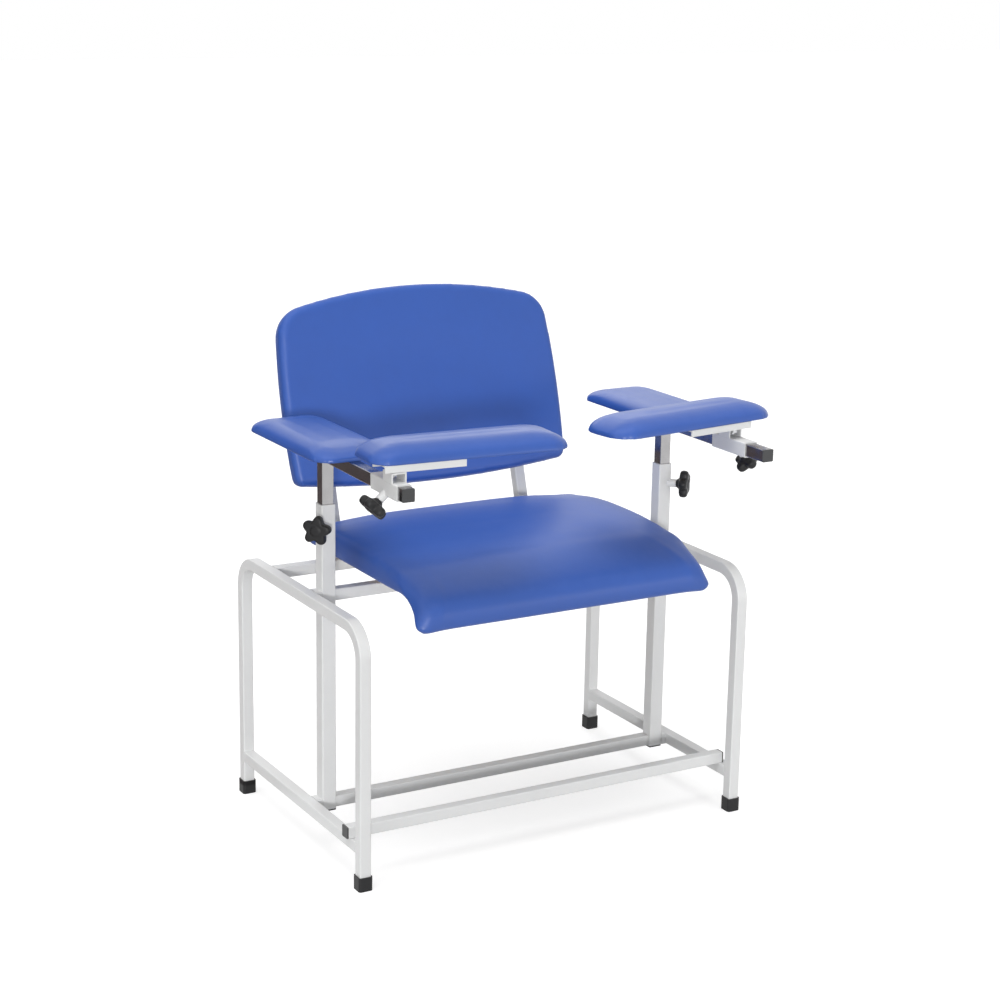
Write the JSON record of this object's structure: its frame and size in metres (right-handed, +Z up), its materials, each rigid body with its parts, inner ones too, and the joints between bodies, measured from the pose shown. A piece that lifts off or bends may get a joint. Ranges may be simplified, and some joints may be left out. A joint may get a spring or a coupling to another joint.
{
  "type": "phlebotomy chair",
  "caption": "Wide blood-drawing chair with a square tube frame, foot bar, padded seat and leaning back, and height-adjustable arms with side rests and swivelling front pads.",
  "frame": {"origin": "on the floor, midway between the four feet, on the centre plane between the side frames", "axes": "+Z up, -Y towards the front of the chair where the sitter's feet are, +X towards the right seen from the front"},
  "size_m": [1.0118, 0.8543, 1.1163],
  "materials": {
    "white_paint": "satin",
    "chrome_tube": "polished",
    "blue_vinyl": "satin",
    "plywood": "matte",
    "black_plastic": "satin",
    "zinc_steel": "satin"
  },
  "bodies": {
    "frame": {"left_side_frame": "white_paint", "right_side_frame": "white_paint", "left_lower_rail": "white_paint", "right_lower_rail": "white_paint", "front_foot_bar": "white_paint", "rear_lower_crossbar": "white_paint", "middle_upper_crossbar": "white_paint", "rear_upper_crossbar": "white_paint", "left_post": "white_paint", "right_post": "white_paint", "post_spacers": "white_paint", "post_end_plugs": "black_plastic", "post_clamp_bosses": "white_paint", "tube_end_plugs": "black_plastic", "foot_caps": "black_plastic", "left_back_rail": "white_paint", "right_back_rail": "white_paint", "seat_board": "plywood", "seat_cushion": "blue_vinyl", "backrest_board": "plywood", "backrest_cushion": "blue_vinyl", "upholstery_screws": "zinc_steel"},
    "left_arm": {"left_height_tube": "chrome_tube", "left_arm_beam": "chrome_tube", "left_beam_plugs": "black_plastic", "left_side_pad_board": "plywood", "left_side_pad": "blue_vinyl", "left_side_pad_screws": "zinc_steel"},
    "left_sleeve_carriage": {"left_sleeve": "white_paint", "left_sleeve_boss": "white_paint", "left_swivel_bracket": "white_paint"},
    "left_pivot": {"left_pivot_bolt": "zinc_steel", "left_pivot_nut": "zinc_steel", "left_pad_channel": "white_paint"},
    "left_front_pad_body": {"left_front_pad_board": "plywood", "left_front_pad": "blue_vinyl", "left_front_pad_screws": "zinc_steel"},
    "left_post_knob_body": {"left_post_knob": "black_plastic", "left_post_knob_screw": "zinc_steel"},
    "left_sleeve_knob_body": {"left_sleeve_knob": "black_plastic", "left_sleeve_knob_screw": "zinc_steel"},
    "right_arm": {"right_height_tube": "chrome_tube", "right_arm_beam": "chrome_tube", "right_beam_plugs": "black_plastic", "right_side_pad_board": "plywood", "right_side_pad": "blue_vinyl", "right_side_pad_screws": "zinc_steel"},
    "right_sleeve_carriage": {"right_sleeve": "white_paint", "right_sleeve_boss": "white_paint", "right_swivel_bracket": "white_paint"},
    "right_pivot": {"right_pivot_bolt": "zinc_steel", "right_pivot_nut": "zinc_steel", "right_pad_channel": "white_paint"},
    "right_front_pad_body": {"right_front_pad_board": "plywood", "right_front_pad": "blue_vinyl", "right_front_pad_screws": "zinc_steel"},
    "right_post_knob_body": {"right_post_knob": "black_plastic", "right_post_knob_screw": "zinc_steel"},
    "right_sleeve_knob_body": {"right_sleeve_knob": "black_plastic", "right_sleeve_knob_screw": "zinc_steel"}
  },
  "joints": [
    {"name": "left_arm_height", "type": "slide", "parent": "frame", "child": "left_arm", "axis": [0, 0, 1], "range_m": [-0.085, 0.095]},
    {"name": "left_sleeve_slide", "type": "slide", "parent": "left_arm", "child": "left_sleeve_carriage", "axis": [-0.0279, -0.9996, 0], "range_m": [-0.108, 0.02]},
    {"name": "left_pad_swivel", "type": "hinge", "parent": "left_sleeve_carriage", "child": "left_pivot", "pos_m": [-0.42602, -0.35937, 0.87], "axis": [0, 0, -1], "range_deg": [-10, 100]},
    {"name": "left_pad_shift", "type": "slide", "parent": "left_pivot", "child": "left_front_pad_body", "axis": [-0.9974, 0.0715, 0], "range_m": [-0.005, 0.055]},
    {"name": "left_post_knob_turn", "type": "hinge", "parent": "frame", "child": "left_post_knob_body", "pos_m": [-0.417, -0.0365, 0.702], "axis": [-0.7071, -0.7071, 0], "range_deg": [0, 360]},
    {"name": "left_sleeve_knob_turn", "type": "hinge", "parent": "left_sleeve_carriage", "child": "left_sleeve_knob_body", "pos_m": [-0.42577, -0.35038, 0.854], "axis": [-0.7068, 0.0197, -0.7071], "range_deg": [0, 360]},
    {"name": "right_arm_height", "type": "slide", "parent": "frame", "child": "right_arm", "axis": [0, 0, 1], "range_m": [-0.077, 0.103]},
    {"name": "right_sleeve_slide", "type": "slide", "parent": "right_arm", "child": "right_sleeve_carriage", "axis": [-0.0052, -1, 0], "range_m": [-0.066, 0.062]},
    {"name": "right_pad_swivel", "type": "hinge", "parent": "right_sleeve_carriage", "child": "right_pivot", "pos_m": [0.41562, -0.2995, 0.862], "axis": [0, 0, 1], "range_deg": [-10, 100]},
    {"name": "right_pad_shift", "type": "slide", "parent": "right_pivot", "child": "right_front_pad_body", "axis": [0.9907, 0.1357, 0], "range_m": [-0.057, 0.003]},
    {"name": "right_post_knob_turn", "type": "hinge", "parent": "frame", "child": "right_post_knob_body", "pos_m": [0.417, -0.0365, 0.702], "axis": [0.7071, -0.7071, 0], "range_deg": [0, 360]},
    {"name": "right_sleeve_knob_turn", "type": "hinge", "parent": "right_sleeve_carriage", "child": "right_sleeve_knob_body", "pos_m": [0.41558, -0.3085, 0.846], "axis": [0.7071, -0.0037, -0.7071], "range_deg": [0, 360]}
  ]
}
